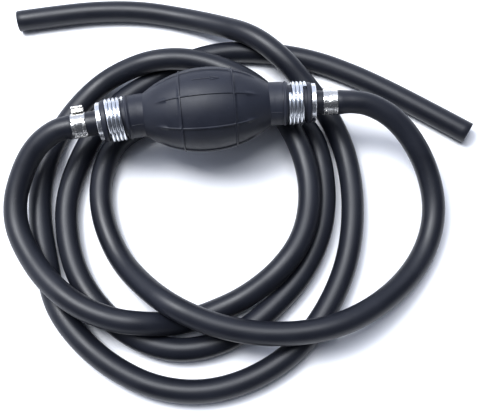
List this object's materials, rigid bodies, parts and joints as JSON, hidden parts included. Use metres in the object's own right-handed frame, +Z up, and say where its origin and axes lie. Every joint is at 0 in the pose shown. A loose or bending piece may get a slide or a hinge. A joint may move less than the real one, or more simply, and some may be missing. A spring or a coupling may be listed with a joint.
{
  "type": "siphon priming pump",
  "caption": "Squeeze-bulb siphon pump with a spring check valve at each end, wire coil and ear clamps, and long looped rubber hoses.",
  "frame": {"origin": "middle of the pump without its hoses, on the axis of the bulb", "axes": "+X along the bulb in the direction of flow, from inlet to outlet; +Z up; the hoses lie on a floor 40 mm below the origin"},
  "size_m": [0.2973, 0.275, 0.0658],
  "materials": {
    "bulb_rubber": "satin moulded rubber",
    "hose_rubber": "smooth satin extruded rubber",
    "plated_metal": "bright turned",
    "zinc_wire": "bright zinc plated",
    "stainless_strip": "bright rolled strip",
    "spring_wire": "drawn stainless wire",
    "brass": "turned",
    "seal_rubber": "matt moulded rubber",
    "valve_plastic": "moulded acetal"
  },
  "bodies": {
    "pump": {"bulb": "bulb_rubber", "inlet_fitting": "plated_metal", "inlet_valve_seat": "brass", "inlet_valve_guide": "valve_plastic", "inlet_valve_spring": "spring_wire", "inlet_coil_clamp": "zinc_wire", "inlet_ear_clamp": "stainless_strip", "inlet_hose": "hose_rubber", "inlet_hose_tip": "hose_rubber", "inlet_hose_cuff": "hose_rubber", "outlet_fitting": "plated_metal", "outlet_valve_seat": "brass", "outlet_valve_guide": "valve_plastic", "outlet_valve_spring": "spring_wire", "outlet_coil_clamp": "zinc_wire", "outlet_ear_clamp": "stainless_strip", "outlet_hose": "hose_rubber", "outlet_hose_tip": "hose_rubber", "outlet_hose_cuff": "hose_rubber"},
    "inlet_valve": {"inlet_valve_poppet": "valve_plastic", "inlet_valve_seal": "seal_rubber"},
    "outlet_valve": {"outlet_valve_poppet": "valve_plastic", "outlet_valve_seal": "seal_rubber"}
  },
  "joints": [
    {"name": "inlet_valve_lift", "type": "slide", "parent": "pump", "child": "inlet_valve", "axis": [0.9962, 0.0872, 0], "range_m": [0, 0.0025], "stiffness_N_per_m": 40, "springref_m": -0.002, "deforming": ["inlet_valve_spring"]},
    {"name": "outlet_valve_lift", "type": "slide", "parent": "pump", "child": "outlet_valve", "axis": [0.9976, -0.0698, 0], "range_m": [0, 0.0025], "stiffness_N_per_m": 40, "springref_m": -0.002, "deforming": ["outlet_valve_spring"]}
  ]
}
